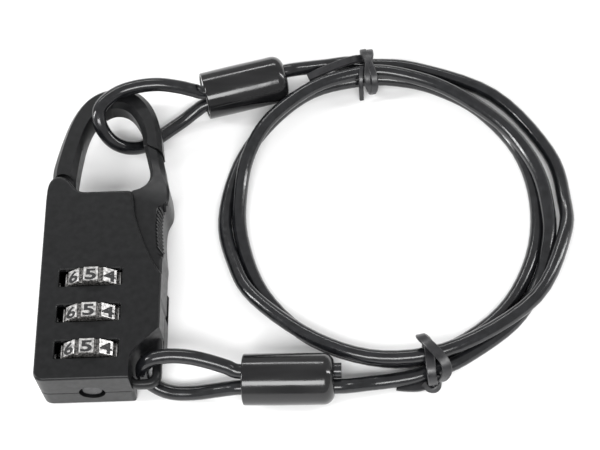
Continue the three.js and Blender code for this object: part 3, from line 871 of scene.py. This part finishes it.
def body_outline():
    """As the cover, less the corner under the cable's ring."""
    corner = [(6.2, 0), *quad((6.2, 0), (7.0, 0), (7.0, 0.8), 4), (7.0, 7.8)]
    corner += [*quad(corner[-1], (7.0, 9.8), (9.0, 9.8)), (12.8, 9.8)]
    corner += quad(corner[-1], (RIGHT, 9.8), (RIGHT, 10.6), 4)
    return [*corner, *wing_seam(), *top_and_left_side()]


def gate_bay():
    """The hollow in the case that the gate swings into."""
    return [
        (5, 18.2), (15, 18.2), (15, 60), (-4.6, 60), (-4.6, 43.5), (-0.9, 38), (2, 33.5),
        (4.4, 29.5), (5, 28),
    ]


def wheel_bay():
    """The hollow for the wheels, widened at the bottom for the button."""
    return [
        (-12.9, 5.2), (-8.4, 5.2), (-8.4, 1.4), (1.6, 1.4), (1.6, 5.2), (5.6, 5.2),
        (5.6, 9.4), (7.9, 9.9), (7.9, 31), (1, 36.8), (-5.6, 36.8), (-12.9, 30),
    ]


def recess_outline():
    """The corner of the cover that is cut away round the cable's ring."""
    points = [(16, 14.4), (8.8, 7.6)]
    points += quad(points[-1], (7.0, 5.9), (7.0, 3.8))
    return points + [(7.0, -2), (16, -2)]


# ---------------------------------------------------------------- case

def button_hole():
    """A cutter through the bottom end face, on the seam."""
    return cylinder(
        "button_hole", place(WHEEL_X, -1, SEAM), place(WHEEL_X, 2, SEAM), BUTTON_HOLE,
    )


def front_cover(paint):
    """The cover, hollow inside, with a window for each wheel and the cable's ring."""
    cover = slab("cover", cover_outline(), SEAM + 0.1, THICKNESS, 0.15, RIM, 4)
    cutters = [
        slab("gate_bay", gate_bay(), 0, THICKNESS - WALL),
        slab("wheel_bay", wheel_bay(), 0, THICKNESS - WALL),
        slab("recess", recess_outline(), 5, THICKNESS + 2),
        slab("hook_root", rectangle(-13.3, -7.8, 43.9, 60), 0, HOOK_FRONT + GAP),
        button_hole(),
    ]
    for i, y in enumerate(WHEEL_Y):
        half = WINDOW["height"] / 2
        window = rounded(rectangle(WINDOW["left"], WINDOW["right"], y - half, y + half), 0.5, 4)
        cutters.append(flared_slab(f"window_{i}", window, SEAM, THICKNESS, 0.25))
    return finish_piece(
        joined("lock_cover", carved(cover, *cutters), cable_ring()),
        "front_cover", "lock_body", paint,
    )


def cable_ring():
    """The low corner of the cover that the cable's eye goes round."""
    outer = [(5.2, 0), (RIGHT, 0), (RIGHT, 14), (5.2, 14)]
    corner = rounded(outer, 3.6, 8)
    ring = slab("ring", corner, RING_BACK, RING_FRONT, 0.9, 1.1, 5)
    hole = rounded([(7.0, 1.9), (11.5, 1.9), (11.5, 7.4), (7.0, 7.4)], 1.6, 5)
    return carved(
        ring,
        flared_slab("hole_top", hole, RING_BACK - 0.2, RING_FRONT, 0.5),
        flared_slab("hole_bottom", hole, RING_BACK, RING_FRONT + 0.2, 0.5, top=False),
    )


def hook_bar():
    """A bevelled bar bent over the top, from its root in the case to the nose at the gate.

    Its front is cut back round the ear, where the cover overlaps the root.
    """
    outer = [(-13, 44.2), (-13, 52.9), *curve2d([
        (-14.1, 54.0), (-13.9, 57.4), (-12.2, 65), (-10.1, 71.3), (-7.2, 75.9), (-3.6, 78.4),
        (0.6, LENGTH), (4.9, 78), (8.2, 74.9), (10.3, 70.8), (11.4, 66.6), (12.2, 60.2),
    ])]
    inner = [(-8.1, 44.2), *curve2d([
        (-8.5, 53.8), (-7.9, 59.6), (-6.9, 65.4), (-5.2, 69.9), (-2.7, 72.9), (0.3, 73.7),
        (3.2, 72.6), (5.5, 69.6), (6.9, 66), (7.4, 62.8),
    ])]
    bar = bar_between(
        "hook", outer, inner, lambda y: (HOOK_BACK, HOOK_FRONT, 1.3, 1.2, 1.4), 110,
    )
    gap = 2.5
    depth = 0.9
    seat = [(x, y + gap) for x, y in ear_and_left_edge()]
    return carved(bar, slab("seat", seat, HOOK_FRONT - depth, HOOK_FRONT + 1))


def back_body(paint):
    """The hollow back of the case, with the hook."""
    tray = slab("tray", body_outline(), 0, SEAM - 0.1, RIM, 0.15, 4)
    cutters = [
        slab("gate_bay", gate_bay(), WALL, SEAM + 1),
        slab("wheel_bay", wheel_bay(), WALL, SEAM + 1),
        slab("wheel_dip", rectangle(-10.2, 5.5, 4.9, 27.7), 0.7, SEAM + 1),
        button_hole(),
    ]
    for i, (x, y) in enumerate(SCREWS):
        hole = ring_points(x, y, 2.1, 24)
        cutters.append(flared_slab(f"screw_{i}", hole, 0, 1.6, 0.2, top=False))
    return finish_piece(
        joined("lock_back", carved(tray, *cutters), hook_bar()),
        "back_body", "lock_body", paint,
    )


# ---------------------------------------------------------------- gate

def grip_curve():
    """The right side of the gate, with the hollow for a thumb below the bump."""
    return curve2d([
        (13.4, 29), (13.5, 31.6), (13.2, 34.2), (12.9, 38.6), (13.2, 42.6), (BUMP, 45.6),
        (14.3, 49.2), (13.3, 53.2), (12.7, 56.6), (12.0, 59.7),
    ])


def smooth_step(share):
    """0 up to 0 and 1 from 1 on, with an easy slope between them."""
    share = min(max(share, 0.0), 1.0)
    return share * share * (3 - 2 * share)


def gate_profile(y):
    """The gate's lowest and highest z, and its cuts, at a place along it.

    It is as thick as the case allows at its wing and as thin as the hook at its tip.
    """
    thin = smooth_step((y - GATE_THINS[0]) / (GATE_THINS[1] - GATE_THINS[0]))
    low = GATE_BACK + (HOOK_BACK - GATE_BACK) * thin
    high = GATE_FRONT + (HOOK_FRONT - GATE_FRONT) * thin
    lower_cut = 0.4 + 0.8 * thin
    left_cut = 0.35 + 0.9 * thin
    plain_cut = 0.6
    run_out = 1.2
    within = smooth_step(min(y - GRIP[0], GRIP[1] - y) / run_out)
    grip_cut = plain_cut + (GRIP_CHAMFER - plain_cut) * within
    return low, high, lower_cut, left_cut, max(grip_cut, 1.5 * thin)


def gate_sides():
    """The gate's left and right sides, from the boss on the pin up to the slanted tip."""
    x, y = PIVOT
    left = [(x - 1.6, y - 2.4), (x - 2.6, y - 1.2), (x - 2.9, y), (x - 2.8, y + 2)]
    left += curve2d([(7.4, 25.4), (8, 30), (7.7, 36.2), (6.3, 41.5), (5.4, 46), (5.3, 48.2)])
    left += curve2d([
        (5.6, 48.7), (7.6, 49.6), (9.1, 51.3), (9.5, 53.8), (8.6, 58), (7.5, 62.3),
    ])
    right = [(x + 1.8, y - 2.9), (x + 3.1, y - 2.4), (x + 3.5, y - 1), (x + 3.5, y + 4)]
    return left, right + grip_curve()


def on_grip(sections, y, share):
    """A point just proud of the grip's chamfer, the share of the way up its slope.

    sections is a list of opposite points of the gate's left and right sides.
    """
    left, right = min(sections, key=lambda pair: abs(pair[1].y - y))
    across = (right - left).normalized()
    _, high, _, _, cut = gate_profile((left.y + right.y) / 2)
    spot = right + across * (RIB_PROUD - share * cut)
    return place(spot.x, spot.y, high - (1 - share) * cut + RIB_PROUD)


def grip_rib(index, sections):
    """One fine ridge, aslant across the chamfer of the thumb hollow."""
    y = GRIP[0] + RIB_START + RIB_PITCH * index
    bottom = on_grip(sections, y + RIB_LEAN[0], 0.0)
    top = on_grip(sections, y + RIB_LEAN[1], RIB_REACH)
    return cylinder(f"rib_{index}", bottom, top, RIB_RADIUS, 12)


def gate(paint):
    """The gate in one piece with the ribs of its thumb hollow."""
    bar = bar_between("gate_bar", *gate_sides(), gate_profile, 150)
    sections = list(zip(*(resampled(side, 900) for side in gate_sides())))
    ribs = [grip_rib(i, sections) for i in range(RIBS)]
    return finish_piece(joined("lock_gate", bar, *ribs), "gate", "gate", paint)


# ---------------------------------------------------------------- wheels and button

def wheel_section():
    """(x, z, in a groove) points: ten flat facets with a concave groove between them."""
    step = 2 * math.pi / FACETS
    half_flat = 0.225
    apothem = 7.2
    brink, brink_radius = 0.235, 7.24
    slope, slope_radius = 0.262, 6.95
    bed_radius = 6.78
    groove = (
        (brink, brink_radius, True), (slope, slope_radius, True), (step / 2, bed_radius, True),
        (step - slope, slope_radius, True), (step - brink, brink_radius, False),
    )
    points = []
    for i in range(FACETS):
        middle = math.pi / 2 + step * i
        for j in range(-3, 4):
            turn = half_flat * j / 3
            points.append((apothem / math.cos(turn), middle + turn, False))
        for turn, radius, grooved in groove:
            points.append((radius, middle + turn, grooved))
    return [(r * math.cos(a), r * math.sin(a), grooved) for r, a, grooved in points]


def number_wheel(index, metal, grime_and_shade):
    """A faceted ring. All but the facets, on its outer level of faces, is darkened: painted shade in
    the grooves between the facets, blackened plating on the flanks and rims.
    """
    section = wheel_section()
    half = WHEEL_WIDTH / 2
    rim = half - 0.18
    bevel = 0.975
    levels = [(-half, bevel), (-rim, 1.0), (rim, 1.0), (half, bevel)]
    rows = [[(x * scale, z * scale) for x, z, _ in section] for _, scale in levels]
    bore = [(x * WHEEL_BORE / math.hypot(x, z), z * WHEEL_BORE / math.hypot(x, z))
            for x, z, _ in section]
    rows += [bore, bore]
    along = [y for y, _ in levels] + [half, -half]
    bm = bmesh.new()
    verts = [
        [bm.verts.new(place(WHEEL_X + x, WHEEL_Y[index] + y, WHEEL_Z + z)) for x, z in row]
        for y, row in zip(along, rows)
    ]
    bridge(bm, [*verts, verts[0]])
    wheel = mesh_object(f"dial_{index + 1}", bm)
    finish_piece(wheel, f"number_wheel_{index + 1}", f"wheel_{index + 1}", metal, 25)
    wheel.data.materials.append(grime_and_shade)
    # Faces that get the dark material: painted shade in the grooves, blackened plating on the other
    # levels.
    outer = 1
    blackened_and_shaded = [level != outer or grooved for level in range(len(rows)) for _, _, grooved in section]
    for face, is_blackened_and_shaded in zip(wheel.data.polygons, blackened_and_shaded):
        face.material_index = 1 if is_blackened_and_shaded else 0


def wheel_digits(index, ink):
    """Ten digits, one on each facet, their tops towards the hook."""
    from_axis = 0.00718
    lowered = 0.3
    for facet in range(FACETS):
        digit = (TOP_DIGIT + facet) % 10
        data = bpy.data.curves.new(f"digit_{index + 1}_{digit}", "FONT")
        data.body = str(digit)
        data.size = DIGIT_SIZE / 1000
        data.extrude = 0.00006
        data.offset = 0.0001
        data.align_x = "CENTER"
        data.align_y = "CENTER"
        data.resolution_u = 5
        data.materials.append(ink)
        angle = math.pi / 2 + 2 * math.pi * facet / FACETS
        outward = Vector((math.cos(angle), 0, math.sin(angle)))
        reading = Vector((math.sin(angle), 0, -math.cos(angle)))
        turn = Matrix((reading, Vector((0, 1, 0)), outward)).transposed().to_4x4()
        centre = place(WHEEL_X, WHEEL_Y[index] - lowered, WHEEL_Z) + outward * from_axis
        text = bpy.data.objects.new(data.name, data)
        bpy.context.scene.collection.objects.link(text)
        stretch = Matrix.Diagonal((DIGIT_STRETCH, 1, 1, 1))
        text.matrix_world = Matrix.Translation(centre) @ turn @ stretch
        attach(text, f"wheel_{index + 1}")


def reset_button(plastic):
    """A disc in the bottom end face, its outer edge rounded."""
    thick = 0.001
    rounding = 0.00022
    bm = bmesh.new()
    bmesh.ops.create_cone(
        bm, cap_ends=True, segments=48, radius1=BUTTON_RADIUS / 1000,
        radius2=BUTTON_RADIUS / 1000, depth=thick,
    )
    front = [f for f in bm.faces if f.normal.z < -0.5][0]
    bmesh.ops.bevel(
        bm, geom=list(front.edges), offset=rounding, segments=3, profile=0.5, affect="EDGES",
    )
    turn = Matrix.Rotation(-math.pi / 2, 4, "X")
    bm.transform(Matrix.Translation(place(WHEEL_X, 1.0, SEAM)) @ turn)
    button = mesh_object("push_button", bm)
    return finish_piece(button, "reset_button", "reset_spindle", plastic)


def screw_head(index, metal):
    """A countersunk case screw with a cross recess, head at the back face."""
    x, y = SCREWS[index]
    head = cylinder("head", place(x, y, 0.25), place(x, y, 1.4), 1.8, 32, 0.95)
    shank = cylinder("shank", place(x, y, 1.3), place(x, y, 10.4), 0.95, 20)
    cross = [
        slab(f"arm_{long}", rectangle(x - long, x + long, y - wide, y + wide), -1, 0.85)
        for long, wide in ((1.0, 0.22), (0.22, 1.0))
    ]
    screw = joined(f"screw_{index + 1}", carved(head, *cross), shank)
    return finish_piece(screw, f"case_screw_{index + 1}", "lock_body", metal)


# ---------------------------------------------------------------- build

def dress(names, metal):
    """Gives CAD parts that are hidden in the case their metal."""
    for name in names:
        for material_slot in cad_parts[name].material_slots:
            material_slot.material = metal


def main():
    """Builds the pieces in place of their CAD nodes, then the light and the floor."""
    make_camera()
    paint = black_paint()
    vinyl = cap_vinyl()
    plastic = tie_plastic()
    silver = satin_nickel()
    steel = plain_metal("steel", (0.42, 0.42, 0.41), (0.60, 0.60, 0.59), 0.32)
    aluminium = plain_metal("aluminium", (0.66, 0.66, 0.66), (0.85, 0.85, 0.85), 0.3)
    brass = plain_metal("brass", (0.50, 0.38, 0.16), (0.66, 0.52, 0.24), 0.3)
    ink = digit_ink()
    # Blackened plating for the wheels' flanks, and painted shade for their grooves.
    grime_and_shade = dark_nickel()

    on_cable = [
        make_cap("vinyl_cap_upper", CAP_UPPER, vinyl),
        make_cap("vinyl_cap_lower", CAP_LOWER, vinyl),
        make_ferrule("plug_upper", CAP_UPPER, aluminium),
        make_ferrule("plug_lower", CAP_LOWER, aluminium),
        make_upper_tie(plastic),
        make_lower_tie(plastic),
    ]
    make_cable(cable_coating())

    front_cover(paint)
    back_body(paint)
    gate(paint)
    for index in range(len(WHEEL_Y)):
        number_wheel(index, silver, grime_and_shade)
        wheel_digits(index, ink)
    reset_button(plastic)
    for index in range(len(SCREWS)):
        screw_head(index, steel)
    dress(INNER_STEEL, steel)
    dress([f"cam_sleeve_{index + 1}" for index in range(len(WHEEL_Y))], brass)

    make_light()
    set_view_transform()
    make_floor()


main()
